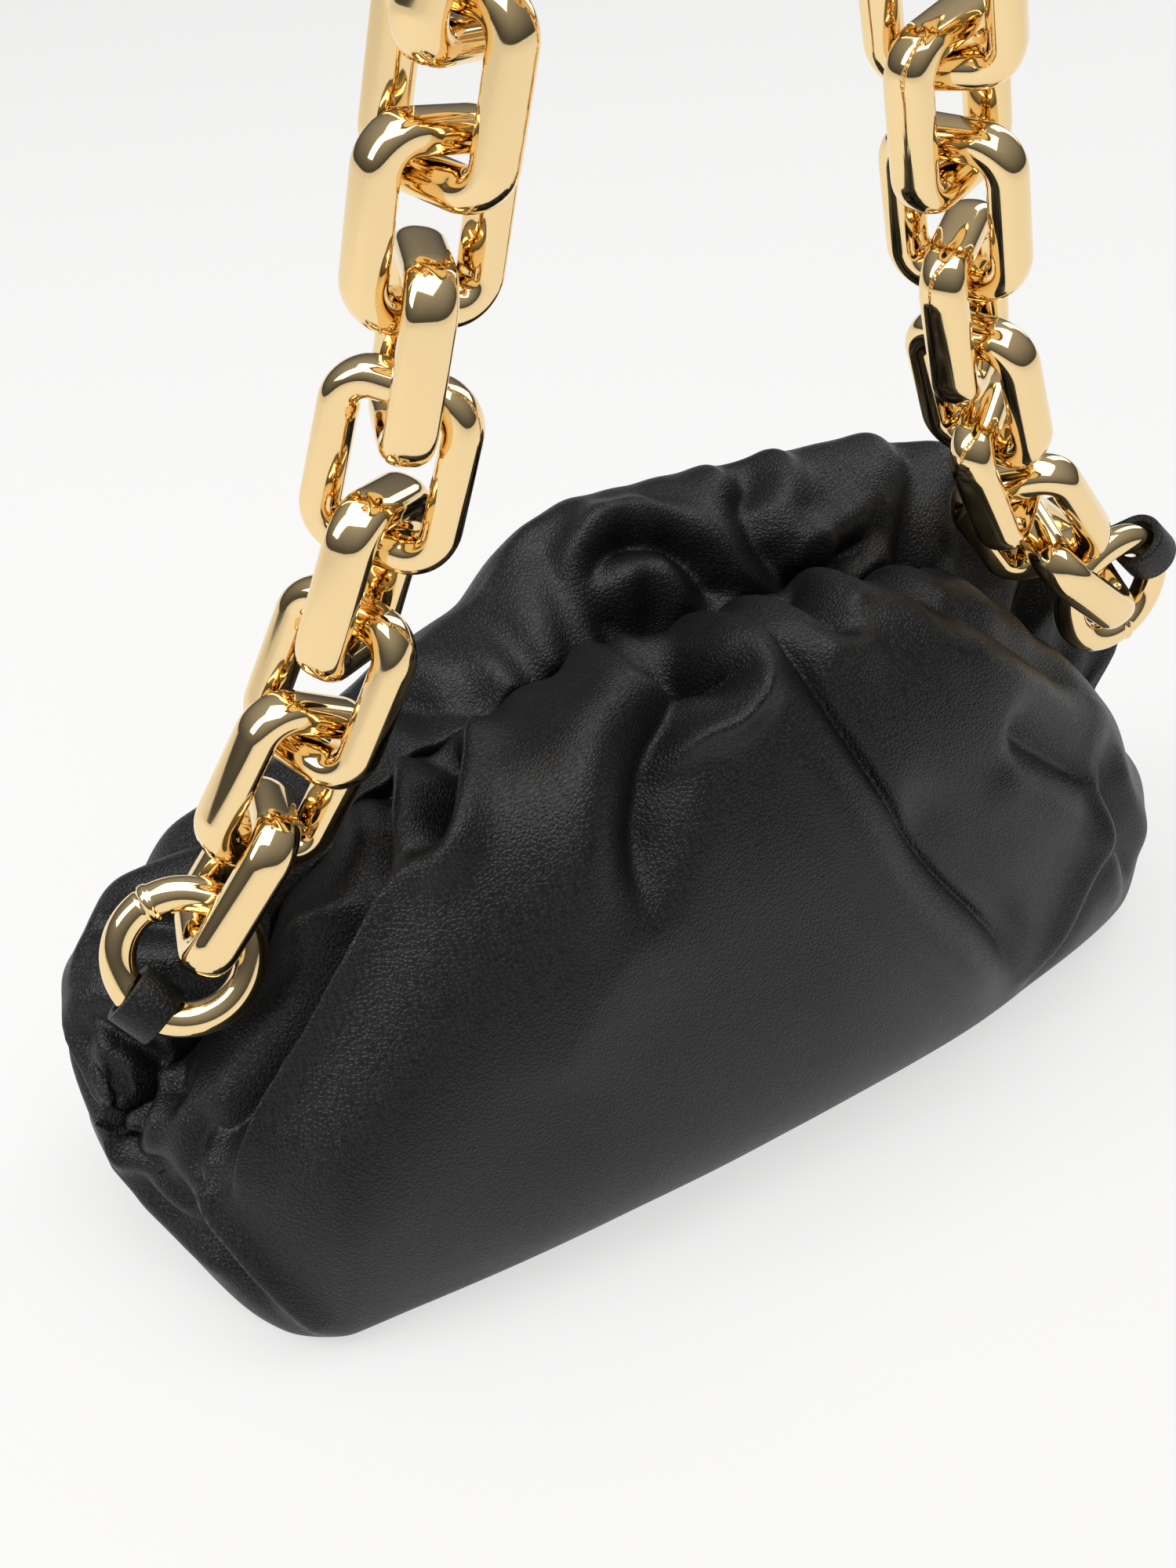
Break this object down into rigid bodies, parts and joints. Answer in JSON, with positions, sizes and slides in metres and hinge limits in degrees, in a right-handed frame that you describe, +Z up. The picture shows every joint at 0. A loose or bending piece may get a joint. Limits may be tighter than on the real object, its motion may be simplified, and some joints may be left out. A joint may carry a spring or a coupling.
{
  "type": "clutch bag",
  "caption": "Gathered soft leather frame clutch with puffed lips over a magnetic mouth, carried by a heavy chain of rounded links on end rings.",
  "frame": {"origin": "middle of the flat leather base, on the surface it stands on", "axes": "+X along the bag towards its right end, -Y the front, +Z up"},
  "size_m": [0.3166, 0.1319, 0.3674],
  "materials": {
    "leather": "soft grained black leather, semi-matt",
    "tab": "flat folded black leather strip, semi-matt",
    "lining": "black woven lining cloth",
    "board": "stiff fibre board, hidden",
    "steel": "plain spring steel, hidden",
    "chain": "mirror-polished pale gold plating on light metal",
    "ring": "mirror-polished pale gold plating on light metal"
  },
  "bodies": {
    "root": {"leather_body": "leather", "lining": "lining", "base_board": "board", "left_hinge_pin": "steel", "right_hinge_pin": "steel", "left_tab": "tab", "right_tab": "tab"},
    "front_frame": {"front_frame": "steel", "front_magnet": "steel", "front_mouth_puff": "leather"},
    "rear_frame": {"rear_frame": "steel", "rear_magnet": "steel", "rear_mouth_puff": "leather"},
    "left_ring": {"left_ring": "ring"},
    "right_ring": {"right_ring": "ring"},
    "chain_left_low": {"chain_link_left_01": "chain", "chain_link_left_02": "chain", "chain_link_left_03": "chain", "chain_link_left_04": "chain"},
    "chain_left_high": {"chain_link_left_05": "chain", "chain_link_left_06": "chain", "chain_link_left_07": "chain"},
    "chain_top": {"chain_link_left_08": "chain", "chain_link_left_09": "chain", "chain_link_left_10": "chain", "chain_link_left_11": "chain", "chain_link_top": "chain", "chain_link_right_11": "chain", "chain_link_right_10": "chain", "chain_link_right_09": "chain", "chain_link_right_08": "chain"},
    "chain_right_low": {"chain_link_right_04": "chain", "chain_link_right_03": "chain", "chain_link_right_02": "chain", "chain_link_right_01": "chain"},
    "chain_right_high": {"chain_link_right_07": "chain", "chain_link_right_06": "chain", "chain_link_right_05": "chain"}
  },
  "joints": [
    {"name": "front_mouth", "type": "hinge", "parent": "root", "child": "front_frame", "pos_m": [0, 0, 0.07], "axis": [1, 0, 0], "range_deg": [0, 38], "deforming": ["front_mouth_puff"]},
    {"name": "rear_mouth", "type": "hinge", "parent": "root", "child": "rear_frame", "pos_m": [0, 0, 0.07], "axis": [1, 0, 0], "range_deg": [-38, 0], "deforming": ["rear_mouth_puff"]},
    {"name": "left_ring_turn", "type": "hinge", "parent": "root", "child": "left_ring", "pos_m": [-0.1401, -0.01, 0.09187], "axis": [-0.3505, -0.8528, 0.3871], "range_deg": [-20, 20]},
    {"name": "right_ring_turn", "type": "hinge", "parent": "root", "child": "right_ring", "pos_m": [0.1316, -0.012, 0.10661], "axis": [0.0088, -0.9999, -0.0088], "range_deg": [-20, 20]},
    {"name": "chain_swing", "type": "hinge", "parent": "root", "child": "chain_left_low", "pos_m": [-0.13342, -0.00959, 0.09881], "axis": [0.9986, -0.0098, 0.0527], "range_deg": [-12, 20]},
    {"name": "right_swing", "type": "hinge", "parent": "root", "child": "chain_right_low", "pos_m": [0.12389, -0.01212, 0.1124], "axis": [0.9986, -0.0098, 0.0527], "range_deg": [-12, 20]},
    {"name": "chain_bend", "type": "hinge", "parent": "chain_left_low", "child": "chain_left_high", "pos_m": [-0.08924, -0.01789, 0.19103], "axis": [0.9997, -0.0073, 0.0243], "range_deg": [-16, 18]},
    {"name": "right_bend", "type": "hinge", "parent": "chain_right_low", "child": "chain_right_high", "pos_m": [0.06484, -0.01902, 0.19478], "axis": [0.9997, -0.0073, 0.0243], "range_deg": [-16, 18]},
    {"name": "top_bend", "type": "hinge", "parent": "chain_left_high", "child": "chain_top", "pos_m": [-0.07575, -0.0246, 0.26689], "axis": [0.9999, -0.0066, 0.0159], "range_deg": [-18, 18]}
  ],
  "couplings": [
    {"joint": "rear_mouth", "follows": "front_mouth", "ratio": -1},
    {"joint": "right_swing", "follows": "chain_swing", "ratio": 1},
    {"joint": "right_bend", "follows": "chain_bend", "ratio": 1}
  ]
}
